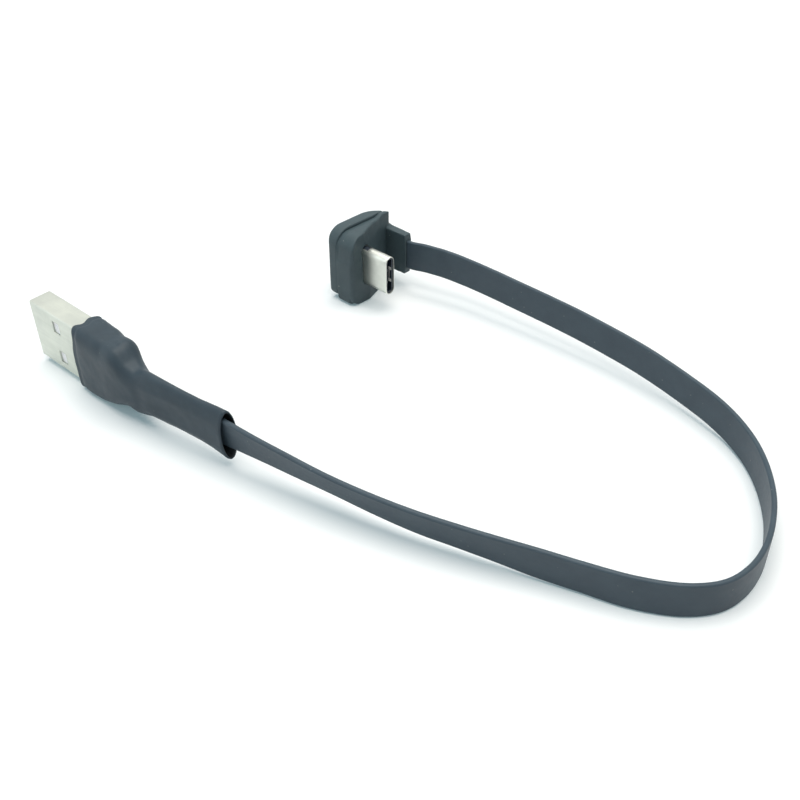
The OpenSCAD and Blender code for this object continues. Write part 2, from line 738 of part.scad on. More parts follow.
usb_c_solder(1);  // usb_c_solder_d_minus
usb_c_solder(2);  // usb_c_solder_d_plus
usb_c_solder(3);  // usb_c_solder_gnd
usb_c_wire(0, "#b3261e");  // usb_c_wire_vbus
usb_c_wire(1, "#e8e8e4");  // usb_c_wire_d_minus
usb_c_wire(2, "#2f8a3c");  // usb_c_wire_d_plus
usb_c_wire(3, "#151515");  // usb_c_wire_gnd
usb_c_front_block();
usb_c_back_cover();
usb_c_boot();
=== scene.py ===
"""Looks for the short flat charging cable: fine meshes, materials, light and camera.

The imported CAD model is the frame. Lengths in the tables are millimetres and are turned
into metres by MM. +X is the USB-C plug's mating direction, +Z is up.
"""

import math

import bmesh
import bpy
import numpy as np
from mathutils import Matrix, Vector, noise


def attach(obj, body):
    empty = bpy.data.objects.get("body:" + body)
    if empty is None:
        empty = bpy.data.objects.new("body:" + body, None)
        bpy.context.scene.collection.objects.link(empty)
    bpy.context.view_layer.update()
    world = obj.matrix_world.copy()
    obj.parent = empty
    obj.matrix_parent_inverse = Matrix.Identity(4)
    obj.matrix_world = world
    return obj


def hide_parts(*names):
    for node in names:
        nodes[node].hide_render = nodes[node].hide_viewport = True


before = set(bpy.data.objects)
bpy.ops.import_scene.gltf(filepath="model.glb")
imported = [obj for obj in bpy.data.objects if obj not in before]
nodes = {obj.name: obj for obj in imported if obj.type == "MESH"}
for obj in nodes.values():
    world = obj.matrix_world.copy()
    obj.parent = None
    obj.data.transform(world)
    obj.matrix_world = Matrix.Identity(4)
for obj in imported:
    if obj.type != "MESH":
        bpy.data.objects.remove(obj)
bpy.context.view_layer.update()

MM = 0.001
scene = bpy.context.scene

# ------------------------------------------------------------------ camera
CAMERA_AT = Vector((134.8, -129.3, 111.4)) * MM
CAMERA_LOOK = Vector((-0.556, 0.581, -0.595))
SENSOR_MM, LENS_MM = 36, 47.25


def make_camera():
    data = bpy.data.cameras.new("camera")
    data.sensor_width = SENSOR_MM
    data.lens = LENS_MM
    data.clip_start = 0.01
    data.clip_end = 20
    camera = bpy.data.objects.new("camera", data)
    camera.location = CAMERA_AT
    camera.rotation_mode = "QUATERNION"
    camera.rotation_quaternion = CAMERA_LOOK.to_track_quat("-Z", "Y")
    scene.collection.objects.link(camera)
    scene.camera = camera


make_camera()


# ------------------------------------------------------------------ node helpers
class Graph:
    """Small helper round a material's node tree."""

    def __init__(self, name):
        self.mat = bpy.data.materials.new(name)
        self.mat.use_nodes = True
        self.tree = self.mat.node_tree
        self.shader = self.tree.nodes["Principled BSDF"]
        self.coord = self.tree.nodes.new("ShaderNodeTexCoord").outputs["Object"]

    def link(self, a, b):
        self.tree.links.new(a, b)

    def node(self, kind, **sockets):
        made = self.tree.nodes.new(kind)
        for key, value in sockets.items():
            made.inputs[key.replace("_", " ")].default_value = value
        return made

    def stretched(self, scale):
        """The object's coordinates, scaled by three numbers."""
        mapping = self.tree.nodes.new("ShaderNodeMapping")
        mapping.inputs["Scale"].default_value = scale
        self.link(self.coord, mapping.inputs["Vector"])
        return mapping.outputs["Vector"]

    def noise(self, scale, detail=3.0, rough=0.55, vector=None, warp=0.0):
        made = self.node("ShaderNodeTexNoise", Scale=scale, Detail=detail, Roughness=rough)
        made.inputs["Distortion"].default_value = warp
        self.link(vector or self.coord, made.inputs["Vector"])
        return made.outputs["Fac"]

    def ramp(self, value, low, high, to_low=0.0, to_high=1.0):
        made = self.tree.nodes.new("ShaderNodeMapRange")
        made.inputs["From Min"].default_value = low
        made.inputs["From Max"].default_value = high
        made.inputs["To Min"].default_value = to_low
        made.inputs["To Max"].default_value = to_high
        self.link(value, made.inputs["Value"])
        return made.outputs["Result"]

    def math(self, kind, a, b):
        """Sum, product or the like of two numbers or sockets."""
        made = self.tree.nodes.new("ShaderNodeMath")
        made.operation = kind
        for socket, value in zip(made.inputs, (a, b)):
            if isinstance(value, (int, float)):
                socket.default_value = value
            else:
                self.link(value, socket)
        return made.outputs["Value"]

    def mix(self, factor, a, b):
        """Blend of two colours, each a tuple or a socket."""
        made = self.tree.nodes.new("ShaderNodeMix")
        made.data_type = "RGBA"
        self.link(factor, made.inputs["Factor"])
        for key, value in (("A", a), ("B", b)):
            socket = [s for s in made.inputs if s.name == key and s.type == "RGBA"][0]
            if isinstance(value, tuple):
                socket.default_value = (*value, 1)
            else:
                self.link(value, socket)
        return [s for s in made.outputs if s.type == "RGBA"][0]

    def specks(self, scale, size, share):
        """1 on sparse round specks, 0 elsewhere."""
        cells = self.node("ShaderNodeTexVoronoi", Scale=scale)
        self.link(self.coord, cells.inputs["Vector"])
        spot = self.ramp(cells.outputs["Distance"], size, size * 0.6)
        split = self.tree.nodes.new("ShaderNodeSeparateColor")
        self.link(cells.outputs["Color"], split.inputs["Color"])
        chosen = self.ramp(split.outputs["Red"], share, share * 0.9)
        return self.math("MULTIPLY", spot, chosen)

    def bump(self, *layers):
        """Bump from (height, distance in mm) pairs, one on top of the other."""
        last = None
        for height, distance in layers:
            made = self.tree.nodes.new("ShaderNodeBump")
            made.inputs["Distance"].default_value = distance * MM
            made.inputs["Strength"].default_value = 1.0
            self.link(height, made.inputs["Height"])
            if last:
                self.link(last, made.inputs["Normal"])
            last = made.outputs["Normal"]
        self.link(last, self.shader.inputs["Normal"])


DUST = (0.30, 0.33, 0.30)


def rubber(name, dark, light, rough, grain=0.012, streak=None, dust=0.35):
    """Soft moulded plastic: mottled colour, fine grain, sparse dust."""
    g = Graph(name)
    cloud = g.noise(220, 4, 0.6)
    fine = g.noise(1500, 3, 0.6)
    blend = g.math("ADD", g.math("MULTIPLY", g.ramp(cloud, 0.3, 0.7), 0.7),
                   g.math("MULTIPLY", g.ramp(fine, 0.3, 0.7), 0.3))
    colour = g.mix(blend, dark, light)
    if dust:
        dot = g.math("MULTIPLY", g.specks(1100, 0.16, 0.1), dust)
        colour = g.mix(dot, colour, DUST)
    g.link(colour, g.shader.inputs["Base Color"])
    g.link(g.ramp(fine, 0.2, 0.8, rough - 0.06, rough + 0.06), g.shader.inputs["Roughness"])
    g.shader.inputs["Specular IOR Level"].default_value = 0.34
    layers = [(g.noise(5200, 2, 0.5), grain), (g.noise(900, 3, 0.5), grain * 2.2)]
    if streak:
        layers.append((g.noise(260, 2, 0.5, g.stretched(streak)), grain * 3))
    g.bump(*layers)
    return g.mat


def steel(name, colour, tint, rough, along, scratch=0.004):
    """Plated sheet: brushing along one direction, faint blotches and fine scratches."""
    g = Graph(name)
    brushed = g.noise(1400, 3, 0.6, g.stretched(along))
    blotch = g.noise(260, 4, 0.6, warp=0.6)
    shade = g.mix(g.ramp(blotch, 0.3, 0.75), colour, tint)
    shade = g.mix(g.math("MULTIPLY", g.ramp(brushed, 0.35, 0.7), 0.35), shade, tint)
    g.link(shade, g.shader.inputs["Base Color"])
    g.shader.inputs["Metallic"].default_value = 1.0
    g.link(g.ramp(brushed, 0.25, 0.75, rough - 0.07, rough + 0.09),
           g.shader.inputs["Roughness"])
    g.bump((brushed, scratch), (g.noise(500, 2, 0.5), scratch * 2))
    return g.mat


def plastic(name, colour, shade, rough, grain=0.006):
    """Hard moulded plastic with a slightly uneven surface."""
    g = Graph(name)
    cloud = g.noise(600, 3, 0.6)
    g.link(g.mix(g.ramp(cloud, 0.3, 0.7), shade, colour), g.shader.inputs["Base Color"])
    g.link(g.ramp(cloud, 0.2, 0.8, rough - 0.05, rough + 0.05), g.shader.inputs["Roughness"])
    g.bump((g.noise(3000, 2, 0.5), grain))
    return g.mat


JACKET = rubber("jacket", (0.036, 0.055, 0.073), (0.050, 0.075, 0.095), 0.48,
                grain=0.006, streak=(0.02, 1, 1), dust=0.3)
MOULDING = rubber("moulding", (0.034, 0.054, 0.063), (0.054, 0.082, 0.093), 0.56, grain=0.012,
                  dust=0.8)
SHRINK = rubber("shrink", (0.020, 0.035, 0.048), (0.032, 0.052, 0.068), 0.52, grain=0.008,
                dust=0.15)
# the film's inner wall gets a near-black colour: painted shade for the dark inside of the sleeve's
# mouth
SHRINK_INNER_PAINTED_SHADE = rubber("shrink_inner_painted_shade", (0.007, 0.010, 0.012), (0.011, 0.015, 0.018), 0.7, dust=0)
FILLER = rubber("filler", (0.03, 0.035, 0.04), (0.045, 0.05, 0.055), 0.55)
SHELL_A = steel("shell_a", (0.63, 0.66, 0.59), (0.53, 0.56, 0.51), 0.4, (0.03, 1, 1))
SHELL_C = steel("shell_c", (0.72, 0.74, 0.68), (0.60, 0.62, 0.57), 0.36, (0.4, 1, 1), 0.003)
SPRING = plastic("spring_plate", (0.80, 0.81, 0.78), (0.66, 0.67, 0.64), 0.35)
LATCH = steel("latch", (0.75, 0.75, 0.72), (0.62, 0.62, 0.60), 0.25, (0.1, 1, 1))
SOLDER = steel("solder", (0.62, 0.63, 0.62), (0.50, 0.51, 0.51), 0.3, (1, 1, 1), 0.01)
GOLD = steel("gold", (0.83, 0.62, 0.28), (0.72, 0.52, 0.24), 0.25, (0.1, 1, 1))
# darkened gold for the USB-C contacts: painted shade for their place deep in the dark slot
GOLD_PAINTED_SHADE = steel("gold_painted_shade", (0.20, 0.15, 0.08), (0.14, 0.11, 0.06), 0.45, (0.1, 1, 1))
WHITE = plastic("white_plastic", (0.93, 0.93, 0.94), (0.88, 0.88, 0.89), 0.4)
BLACK = plastic("black_plastic", (0.010, 0.017, 0.028), (0.015, 0.024, 0.038), 0.38)
CARD = plastic("card", (0.012, 0.10, 0.05), (0.02, 0.14, 0.07), 0.35)
WIRES = {
    "vbus": plastic("wire_red", (0.45, 0.02, 0.015), (0.38, 0.015, 0.012), 0.35),
    "d_minus": plastic("wire_white", (0.80, 0.80, 0.78), (0.72, 0.72, 0.70), 0.35),
    "d_plus": plastic("wire_green", (0.02, 0.22, 0.05), (0.015, 0.18, 0.04), 0.35),
    "gnd": plastic("wire_black", (0.012, 0.012, 0.012), (0.02, 0.02, 0.02), 0.35),
}


# ------------------------------------------------------------------ mesh helpers
def piece(name, verts, faces, material, replaces):
    """A new mesh piece in the part's frame, from millimetres."""
    mesh = bpy.data.meshes.new(name)
    mesh.from_pydata([Vector(v) * MM for v in verts], [], faces)
    mesh.validate()
    mesh.shade_smooth()
    ob = bpy.data.objects.new(name, mesh)
    scene.collection.objects.link(ob)
    finish_piece(ob, material, replaces)
    return ob


def finish_piece(ob, material, replaces):
    """Gives a piece its material and body, and hides the nodes it stands for."""
    ob.data.materials.clear()
    ob.data.materials.append(material)
    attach(ob, "root")
    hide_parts(*replaces)


def ring_faces(rings, count, closed_ends=True, start=0):
    """Quads between rings of count points, with a flat face over each end if closed."""
    faces = []
    for j in range(rings - 1):
        for i in range(count):
            a, b = start + j * count + i, start + j * count + (i + 1) % count
            faces.append((a, b, b + count, a + count))
    if closed_ends:
        faces.append(tuple(start + i for i in range(count - 1, -1, -1)))
        faces.append(tuple(start + (rings - 1) * count + i for i in range(count)))
    return faces


def catmull(points, steps):
    """Points on a Catmull-Rom curve through the given ones."""
    p = np.array(points, float)
    out = []
    for i in range(len(p) - 1):
        a, b, c, d = p[max(i - 1, 0)], p[i], p[i + 1], p[min(i + 2, len(p) - 1)]
        for j in range(steps):
            u = j / steps
            out.append(0.5 * (2 * b + (c - a) * u + (2 * a - 5 * b + 4 * c - d) * u * u
                              + (3 * b - a - 3 * c + d) * u ** 3))
    out.append(p[-1])
    return np.array(out)


def resample(points, step, dims=3):
    """The same curve with even spacing along its first dims columns."""
    seg = np.linalg.norm(np.diff(points[:, :dims], axis=0), axis=1)
    s = np.concatenate([[0], np.cumsum(seg)])
    n = max(int(round(s[-1] / step)), 2)
    t = np.linspace(0, s[-1], n + 1)
    return np.stack([np.interp(t, s, points[:, k]) for k in range(points.shape[1])], 1), s[-1]


# ------------------------------------------------------------------ cable
CABLE_W, CABLE_T, CABLE_EDGE = 6.3, 0.9, 0.4
CABLE_STEP = 0.6  # between two rings of the cable's mesh
RIB = 0.014  # depth of the cores' faint ribs
HOUSE_H = 15.4
LIMB_X, LIMB_Y, LIMB_Z = -1.2, 9.4, HOUSE_H / 2  # root of the boot
PLUG_Z = LIMB_Z + 0.3
A_ANCHOR = np.array([23.4, -52.7, 6.62])  # middle of the sleeve's mouth
A_TURN = (2, 0.8, 2)  # roll, pitch and yaw of the USB-A end, in degrees
SLEEVE_START, NECK_START, SLEEVE_END = 13.0, 31.4, 49.9
NECK_LEN = SLEEVE_END - NECK_START
A_OFFSET = 1.0  # how far the mouth's middle lies from the plug's axis
C_STRAND = [  # x, y, share of the rise from the table to the moulding, lean in degrees
    (-2.0, 9.4, 1, 0), (-0.4, 9.4, 1, 0), (1.2, 9.4, 1, 0), (5.3, 9.4, 1, 0),
    (8.5, 10.2, 1.04, 0), (13, 11.35, 1.02, 0), (18, 12.4, 0.92, 0), (24.5, 13, 0.84, 0),
    (31, 13.4, 0.75, 0), (38, 13.7, 0.68, 0), (44.5, 13.8, 0.61, 0), (51.5, 13.7, 0.51, 0),
    (58.5, 13.2, 0.43, 0), (64, 12.5, 0.34, 0), (69, 11.6, 0.26, 0), (74.5, 10.2, 0.2, 0),
    (79.5, 8.4, 0.1, 0), (84.5, 5.4, 0.03, 0), (89, 1.2, 0.01, 0), (93, -4, 0.005, 0),
    (95.8, -9.2, 0.005, 0), (97.8, -14.8, 0.005, 0), (98.5, -20.5, 0.005, 0),
    (97.4, -25.8, 0.005, 0), (93.8, -30.2, 0.005, 0), (88, -33.8, 0.02, 1),
]
A_STRAND = [  # the same, with the rise to the sleeve's mouth
    (81.3, -36.4, 0.06, 5), (75.3, -38.7, 0.13, 7), (69.5, -40.9, 0.23, 13),
    (63.8, -43, 0.31, 17), (57.4, -45.2, 0.38, 19), (50.3, -47.2, 0.5, 22),
    (43, -48.9, 0.65, 24), (35.5, -50.4, 0.79, 20), (29, -51.6, 0.9, 16),
]
A_INNER = [  # x and y on the USB-A end's own axes, lean in degrees
    (NECK_START + 0.96 * NECK_LEN, 1.0, 9), (NECK_START + 0.73 * NECK_LEN, 0.4, 4),
    (NECK_START + 0.51 * NECK_LEN, -0.1, 2), (NECK_START + 0.27 * NECK_LEN, -0.6, 2),
    (NECK_START + 0.06 * NECK_LEN, -0.65, 2), (30.4, -0.5, 2), (29.5, -0.5, 2),
    (28.6, -0.5, 2),
]


def place_a(points):
    """From the USB-A end's own axes to the part's axes, for an N x 3 array."""
    p = np.atleast_2d(np.array(points, float)) - np.array([SLEEVE_END, A_OFFSET, 0])
    x, y, z = p[:, 0], p[:, 1], p[:, 2]
    roll, pitch, yaw = np.radians(A_TURN)
    y, z = y * math.cos(roll) - z * math.sin(roll), y * math.sin(roll) + z * math.cos(roll)
    x, z = x * math.cos(pitch) + z * math.sin(pitch), -x * math.sin(pitch) + z * math.cos(pitch)
    x, y = x * math.cos(yaw) - y * math.sin(yaw), x * math.sin(yaw) + y * math.cos(yaw)
    return np.stack([x, y, z], 1) + A_ANCHOR


def cable_route():
    """Rows of (x, y, z, lean) along the cable's middle line, and its length."""
    low = CABLE_W / 2
    pts = [(x, y, low + (LIMB_Z - low) * rise, lean) for x, y, rise, lean in C_STRAND]
    pts += [(x, y, low + (A_ANCHOR[2] - low) * rise, lean) for x, y, rise, lean in A_STRAND]
    for x, y, lean in A_INNER:
        q = place_a([(x, y, 0)])[0]
        pts.append((*q, lean))
    return resample(catmull(pts, 10), CABLE_STEP)


def flat_profile(width, thick, edge, count_flat=9, count_edge=7):
    """Section of the flat jacket as (across the thickness, across the width)."""
    hw, ht = width / 2, thick / 2
    half = []
    for i in range(count_flat):
        u = -1 + 2 * i / (count_flat - 1)
        # four cores show as very faint ribs on the flat sides
        rib = RIB * math.cos(u * math.pi * 4) * (1 - u ** 8)
        half.append((ht - RIB + rib, u * (hw - edge)))
    turn = [math.pi / 2 * i / count_edge for i in range(1, count_edge)]
    half += [(ht - edge + edge * math.cos(a), hw - edge + edge * math.sin(a)) for a in turn]
    half.append((ht - edge, hw))
    half += [(-(ht - edge + edge * math.cos(a)), hw - edge + edge * math.sin(a))
             for a in reversed(turn)]
    other = [(-a, -b) for a, b in half]
    return np.array(half + other)


def edge_wave(s, slow_row, fine_row):
    """Slow and fine unevenness of one edge of the strip at s along it."""
    slow = noise.noise(Vector((s * 0.11, slow_row, 0)))
    fine = noise.noise(Vector((s * 0.6, fine_row, 0)))
    return 0.05 * slow + 0.02 * fine


def make_cable():
    route, length = cable_route()
    centre = route[:, :3]
    tangent = np.gradient(centre, axis=0)
    tangent /= np.linalg.norm(tangent, axis=1)[:, None]
    section = flat_profile(CABLE_W, CABLE_T, CABLE_EDGE)
    verts = []
    for k, (c, t, lean) in enumerate(zip(centre, tangent, np.radians(route[:, 3]))):
        side = np.cross(t, (0, 0, 1))
        side /= np.linalg.norm(side)
        up0 = np.cross(side, t)
        up = up0 * math.cos(lean) - side * math.sin(lean)
        out = side * math.cos(lean) + up0 * math.sin(lean)
        s = k * CABLE_STEP
        # the soft strip is a little wavy along its edges and across its faces
        top, low = edge_wave(s, 3.1, 7), edge_wave(s, 9.7, 2)
        bend = 0.05 * noise.noise(Vector((s * 0.16, 0.4, 5)))
        for a, b in section:
            w = b / (CABLE_W / 2)
            grow = -abs(top) if w > 0 else abs(low)
            verts.append(c + out * (a + bend * (1 - w * w)) + up * (b + grow * w * w))
    n = len(section)
    cable = piece("flat_cable", verts, ring_faces(len(centre), n), JACKET,
                  ("cable_jacket",))


make_cable()


# ------------------------------------------------------------------ USB-A end
def rounded_outline(hx, hy, r, corner=8, flat=10):
    """Rounded rectangle as a closed list of points, with points along its flats."""
    pts = []
    for cx, cy, a0 in ((1, 1, 0), (-1, 1, 90), (-1, -1, 180), (1, -1, 270)):
        for i in range(corner + 1):
            a = math.radians(a0 + 90 * i / corner)
            pts.append((cx * (hx - r) + r * math.cos(a), cy * (hy - r) + r * math.sin(a)))
    out = []
    for i, p in enumerate(pts):
        q = pts[(i + 1) % len(pts)]
        out.append(p)
        if math.dist(p, q) > 2 * r:
            out += [(p[0] + (q[0] - p[0]) * k / flat, p[1] + (q[1] - p[1]) * k / flat)
                    for k in range(1, flat)]
    return out


def tube_faces(rings, count):
    """Faces of a closed tube wall: all outer rings first, then all inner rings."""
    inner = rings * count
    faces = ring_faces(rings, count, False)
    faces += [tuple(reversed(f)) for f in ring_faces(rings, count, False, inner)]
    last = (rings - 1) * count
    for i in range(count):
        j = (i + 1) % count
        faces.append((j, i, inner + i, inner + j))
        faces.append((last + i, last + j, inner + last + j, inner + last + i))
    return faces


def tube_mesh(stations):
    """Closed tube wall from (x, outer outline, inner outline) stations along X."""
    verts = [(x, *p) for x, outer, _ in stations for p in outer]
    verts += [(x, *p) for x, _, inner in stations for p in inner]
    return verts, tube_faces(len(stations), len(stations[0][1]))


def box_mesh(low, high):
    x0, y0, z0 = low
    x1, y1, z1 = high
    verts = [(x, y, z) for x in (x0, x1) for y in (y0, y1) for z in (z0, z1)]
    faces = [(0, 1, 3, 2), (4, 6, 7, 5), (0, 4, 5, 1), (2, 3, 7, 6), (0, 2, 6, 4), (1, 5, 7, 3)]
    return verts, faces


def raw_object(name, verts, faces):
    """A closed mesh in millimetres with its normals outwards, to be cut or remeshed."""
    mesh = bpy.data.meshes.new(name)
    mesh.from_pydata([Vector(v) for v in verts], [], faces)
    mesh.validate()
    bm = bmesh.new()
    bm.from_mesh(mesh)
    bmesh.ops.recalc_face_normals(bm, faces=bm.faces)
    bm.to_mesh(mesh)
    bm.free()
    ob = bpy.data.objects.new(name, mesh)
    scene.collection.objects.link(ob)
    return ob


def apply_modifiers(ob):
    dg = bpy.context.evaluated_depsgraph_get()
    mesh = bpy.data.meshes.new_from_object(ob.evaluated_get(dg))
    ob.modifiers.clear()
    ob.data = mesh


def cut(ob, cutters):
    """Takes each (verts, faces) cutter away, in the object's own units."""
    for verts, faces in cutters:
        other = raw_object("cutter", verts, faces)
        mod = ob.modifiers.new("cut", "BOOLEAN")
        mod.operation = "DIFFERENCE"
        mod.solver = "EXACT"
        mod.object = other
        apply_modifiers(ob)
        bpy.data.objects.remove(other)


def bevel(ob, width, angle):
    """Rounds edges sharper than angle, in the object's own units."""
    mod = ob.modifiers.new("bevel", "BEVEL")
    mod.width = width
    mod.segments = 2
    mod.limit_method = "ANGLE"
    mod.angle_limit = math.radians(angle)
    mod.use_clamp_overlap = True
    apply_modifiers(ob)


def to_part(ob, place=None):
    """Takes an object made in millimetres to the part's frame in metres."""
    co = np.empty(len(ob.data.vertices) * 3)
    ob.data.vertices.foreach_get("co", co)
    co = co.reshape(-1, 3)
    if place:
        co = place(co)
    ob.data.vertices.foreach_set("co", (co * MM).ravel())
    ob.data.update()


def shade_sheet(ob):
    """Smooth shading that keeps the sheet's own corners sharp."""
    ob.data.shade_smooth()
    ob.data.set_sharp_from_angle(angle=math.radians(40))


A_SHELL_WALL, A_SHELL_HALF_W, A_SHELL_HALF_H, A_SHELL_LEN = 0.3, 6.0, 2.25, 19.1
A_SHELL_ROUND = 0.4
A_SHELL_RIM = ((0.0, 0.10), (0.06, 0.03), (0.2, 0.0))  # x and how far the rim draws in
WINDOW_FRONT, WINDOW_LEN, WINDOW_HALF_W, WINDOW_Z = 6.6, 2.0, 1.25, 3.25
WINDOW_SIDES = ((-3, -1.5), (1.5, 3))  # each cutter passes through one wide side


def make_shell_a():
    wall, half_w, half_h = A_SHELL_WALL, A_SHELL_HALF_W, A_SHELL_HALF_H
    stations = []
    for x, inset in (*A_SHELL_RIM, (4, 0), (9, 0), (SLEEVE_START, 0), (A_SHELL_LEN, 0)):
        flare = inset * 0.6
        outer = rounded_outline(half_h - inset, half_w - inset, A_SHELL_ROUND)
        inner = rounded_outline(half_h - wall + flare, half_w - wall + flare, 0.3)
        stations.append((x, outer, inner))
    ob = raw_object("usb_a_plug_shell", *tube_mesh(stations))
    cutters = []
    for z in (-WINDOW_Z, WINDOW_Z):
        for y0, y1 in WINDOW_SIDES:
            cutters.append(box_mesh((WINDOW_FRONT, y0, z - WINDOW_HALF_W),
                                    (WINDOW_FRONT + WINDOW_LEN, y1, z + WINDOW_HALF_W)))
    cut(ob, cutters)
    bevel(ob, 0.07, 50)
    to_part(ob, place_a)
    shade_sheet(ob)
    finish_piece(ob, SHELL_A, ("usb_a_shell",))


make_shell_a()

BLOCK_LEN, SHOULDER_LEN = 13.0, 5.4
BLOCK_T, BLOCK_W, SLEEVE_WALL = 3.4, 7.0, 0.5
SAG = -0.95
CORNER_R, CORNER_STEPS = 0.9, 12
NECK_TOP, NECK_LOW = CABLE_W / 2 + 1.8, CABLE_W / 2 + 0.75
SLEEVE_ROWS = [  # x, half thickness, top, bottom, roundness, offset, cut angle
    (SLEEVE_START, BLOCK_T - 0.5, BLOCK_W - 0.45, BLOCK_W - 0.45, 0, 0, 0),
    (SLEEVE_START + 0.05 * BLOCK_LEN, BLOCK_T - 0.3, BLOCK_W - 0.25, BLOCK_W - 0.25, 0.1, 0, 0),
    (SLEEVE_START + 0.15 * BLOCK_LEN, BLOCK_T - 0.1, BLOCK_W - 0.1, BLOCK_W - 0.1, 0.2, -0.05, 0),
    (SLEEVE_START + 0.31 * BLOCK_LEN, BLOCK_T, BLOCK_W - 0.1, BLOCK_W, 0.3, -0.1, 0),
    (SLEEVE_START + 0.49 * BLOCK_LEN, BLOCK_T, BLOCK_W - 0.2, BLOCK_W - 0.1, 0.35, -0.15, 0),
    (SLEEVE_START + 0.66 * BLOCK_LEN, BLOCK_T - 0.1, BLOCK_W - 0.2, BLOCK_W - 0.6, 0.4, -0.3, 0),
    (SLEEVE_START + 0.83 * BLOCK_LEN, BLOCK_T - 0.2, BLOCK_W - 0.3, BLOCK_W - 1.4, 0.45, -0.5, 0),
    (SLEEVE_START + BLOCK_LEN, BLOCK_T - 0.4, BLOCK_W - 0.6, BLOCK_W - 2.4, 0.5, -0.65, 0),
    (NECK_START - 0.63 * SHOULDER_LEN, BLOCK_T - 0.7, BLOCK_W - 2, BLOCK_W - 3, 0.6, -0.8, 0),
    (NECK_START - 0.26 * SHOULDER_LEN, BLOCK_T - 1.1, BLOCK_W - 2.7, BLOCK_W - 2.9, 0.75, -0.9, 0),
    (NECK_START, 1.9, 4.7, 4.1, 0.9, SAG, 0),
    (NECK_START + 0.11 * NECK_LEN, 1.65, NECK_TOP, NECK_LOW, 0.85, SAG, 0),
    (NECK_START + 0.27 * NECK_LEN, 1.45, NECK_TOP, NECK_LOW, 0.85, -0.65, 2),
    (NECK_START + 0.51 * NECK_LEN, 1.4, NECK_TOP - 0.15, NECK_LOW, 0.85, -0.15, 5),
    (NECK_START + 0.73 * NECK_LEN, 1.45, 4.6, 4.3, 0.95, 0.4, 4),
    (NECK_START + 0.9 * NECK_LEN, 1.55, 4.7, 5.0, 1, 0.8, -4),
    (SLEEVE_END, 1.7, 4.7, 5.4, 1, A_OFFSET, -12),
]


def sleeve_outline(row, inset, count):
    """Evenly spaced closed outline (y, z) of the sleeve at one station."""
    _, a, top, low, roundness, _, _ = row
    a -= inset
    r = max(CORNER_R - inset, 0.3)
    rx = r + (a - r) * roundness
    pts = []
    for q in range(4):
        b = (top if q < 2 else low) - inset
        ry = r + (b - r) * roundness
        sx = 1 if q in (0, 3) else -1
        sz = 1 if q < 2 else -1
        for j in range(CORNER_STEPS + 1):
            w = math.radians(90 * q + 90 * j / CORNER_STEPS)
            pts.append((sx * (a - rx) + rx * math.cos(w), sz * (b - ry) + ry * math.sin(w)))
    pts = np.array(pts)
    # start at the middle of the +y side so that the points line up from ring to ring
    loop = np.vstack([[pts[0][0], 0], pts, [pts[0][0], 0]])
    seg = np.linalg.norm(np.diff(loop, axis=0), axis=1)
    s = np.concatenate([[0], np.cumsum(seg)])
    t = np.linspace(0, s[-1], count + 1)[:-1]
    return np.stack([np.interp(t, s, loop[:, 0]), np.interp(t, s, loop[:, 1])], 1)


def bell(x, centre, width):
    return math.exp(-((x - centre) / width) ** 2)


def rise(x, low, high):
    """0 below low, 1 above high, smooth between them; high may lie below low."""
    u = min(1.0, max(0.0, (x - low) / (high - low)))
    return u * u * (3 - 2 * u)


def sleeve_relief(x, y, z, half_t, half_w):
    """How far the shrunk film stands proud (+) or is drawn in (-), in millimetres."""
    d = 0.10 * noise.noise(Vector((x * 0.16, y * 0.3, z * 0.22)))
    d += 0.035 * noise.noise(Vector((x * 0.55, y * 0.6, z * 0.6 + 4)))
    near = 1.0 if y < 0 else 0.0
    top, low = rise(z, 0.55 * half_w, 0.95 * half_w), rise(-z, 0.45 * half_w, 0.9 * half_w)
    if x > NECK_START - 2:
        # the flat cable inside prints two soft lengthwise ridges on the neck
        fade = rise(x, NECK_START - 2, NECK_START + 1) * rise(SLEEVE_END - x, 0, 6)
        d += fade * 0.10 * (bell(z, 2.4, 0.7) + bell(z, -2.3, 0.6)) * (0.4 + 0.6 * near)
        d -= fade * 0.08 * bell(z, 0.2, 1.2)
    # the end of the block pushes the film out, above and below
    d += 0.5 * top * bell(x, 25.2, 1.9) * (0.6 if y < 0 else 1.0)
    d += low * 0.35 * rise(x, 27, 30) * rise(x, 33.5, 31)
    d += top * (0.1 * bell(x, 20.5, 1.1) - 0.08 * bell(x, 22.4, 1.0))
    # rolled lip and shallow draw-in behind it at the plug's end
    d += 0.14 * bell(x, SLEEVE_START + 0.5, 0.4) - 0.13 * bell(x, SLEEVE_START + 1.5, 0.55)
    return d


def lip_shift(y, z, half_w):
    """How far the sleeve's front edge has drawn back from the plug's mouth."""
    back = 1.05 * rise(z, 0.1 * half_w, 0.85 * half_w)
    back += 0.3 * rise(z, 0.8 * half_w, 0.95 * half_w) * math.cos(y * 1.9 + 1.2)
    return back + 0.12 * noise.noise(Vector((y * 0.8, z * 0.7, 2)))


